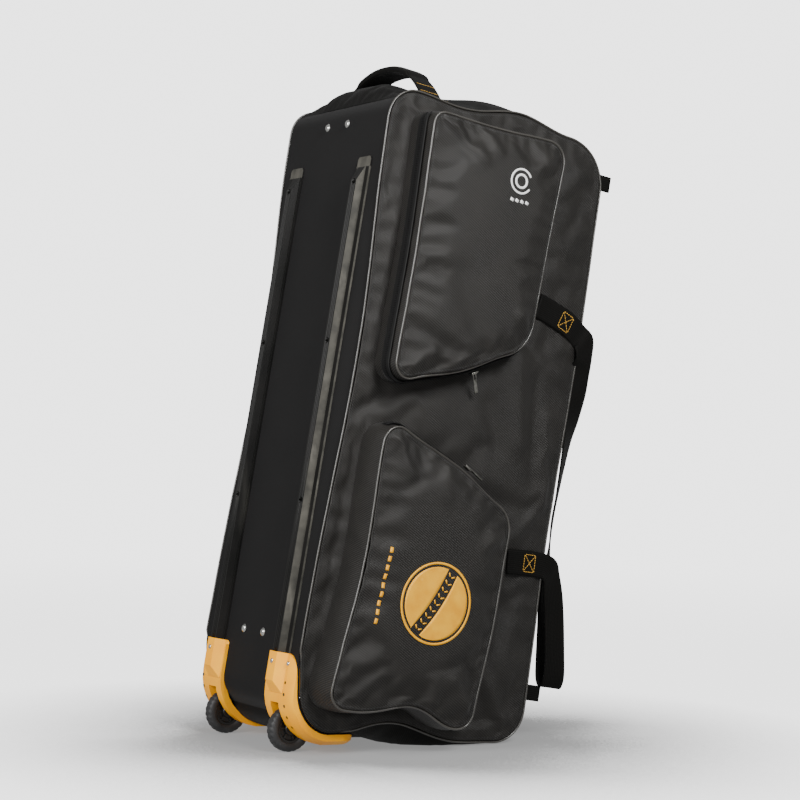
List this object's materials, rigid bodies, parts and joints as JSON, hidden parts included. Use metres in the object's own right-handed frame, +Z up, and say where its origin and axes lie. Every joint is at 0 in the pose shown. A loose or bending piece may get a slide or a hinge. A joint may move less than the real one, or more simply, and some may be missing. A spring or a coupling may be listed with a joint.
{
  "type": "wheeled cricket kit bag",
  "caption": "Upright wheeled cricket kit bag in black twill with amber corner wheel housings, skid rails on the back, piped side pockets, webbing carry handles and a padded top handle.",
  "frame": {"origin": "centre of the bounding box on the floor plane, with the bag standing on its wheels and its bottom end", "axes": "+Z up; +X from the back with the skid rails towards the lid, the way the bag leans; the side with the pockets faces -Y"},
  "size_m": [0.561, 0.381, 1.0251],
  "materials": {
    "side_cloth": "twill woven polyester",
    "board_cloth": "plain woven polyester over a stiff board",
    "end_cloth": "woven polyester",
    "piping_cord": "satin piping",
    "rail_plastic": "moulded, fine grain",
    "housing_plastic": "moulded, satin",
    "tyre_rubber": "moulded tread",
    "hub_plastic": "moulded",
    "bright_steel": "plated",
    "zip_tape": "woven tape with a moulded chain",
    "slider_metal": "lacquered",
    "webbing": "ribbed woven webbing"
  },
  "bodies": {
    "bag": {"side_panel_near": "side_cloth", "piping_near": "piping_cord", "side_panel_far": "side_cloth", "piping_far": "piping_cord", "back_panel": "board_cloth", "top_end_panel": "end_cloth", "lid_panel": "side_cloth", "bottom_end_panel": "end_cloth", "rail_near": "rail_plastic", "wheel_housing_near": "housing_plastic", "axle_near": "bright_steel", "housing_screw_flange_near": "bright_steel", "housing_screw_cap_near": "bright_steel", "rail_far": "rail_plastic", "wheel_housing_far": "housing_plastic", "axle_far": "bright_steel", "housing_screw_flange_far": "bright_steel", "housing_screw_cap_far": "bright_steel", "rivet_lower_near": "bright_steel", "rivet_lower_far": "bright_steel", "rivet_upper_near": "bright_steel", "rivet_upper_far": "bright_steel", "upper_pocket_face": "side_cloth", "upper_pocket_gusset": "side_cloth", "upper_pocket_piping": "piping_cord", "upper_pocket_zip": "zip_tape", "upper_pocket_slider": "slider_metal", "lower_pocket_face": "side_cloth", "lower_pocket_gusset": "side_cloth", "lower_pocket_piping": "piping_cord", "lower_pocket_zip": "zip_tape", "lower_pocket_slider": "slider_metal", "lid_zip": "zip_tape", "lid_slider_upper": "slider_metal", "zip_tab_upper": "webbing", "lid_slider_lower": "slider_metal", "zip_tab_lower": "webbing", "top_handle": "webbing", "carry_strap_near": "webbing", "carry_strap_far": "webbing"},
    "wheel_near": {"tyre_near": "tyre_rubber", "hub_near": "hub_plastic"},
    "wheel_far": {"tyre_far": "tyre_rubber", "hub_far": "hub_plastic"}
  },
  "joints": [
    {"name": "wheel_near_spin", "type": "hinge", "parent": "bag", "child": "wheel_near", "pos_m": [-0.24576, -0.07348, 0.033], "axis": [0, 1, 0], "continuous": true},
    {"name": "wheel_far_spin", "type": "hinge", "parent": "bag", "child": "wheel_far", "pos_m": [-0.24576, 0.12652, 0.033], "axis": [0, 1, 0], "continuous": true}
  ]
}
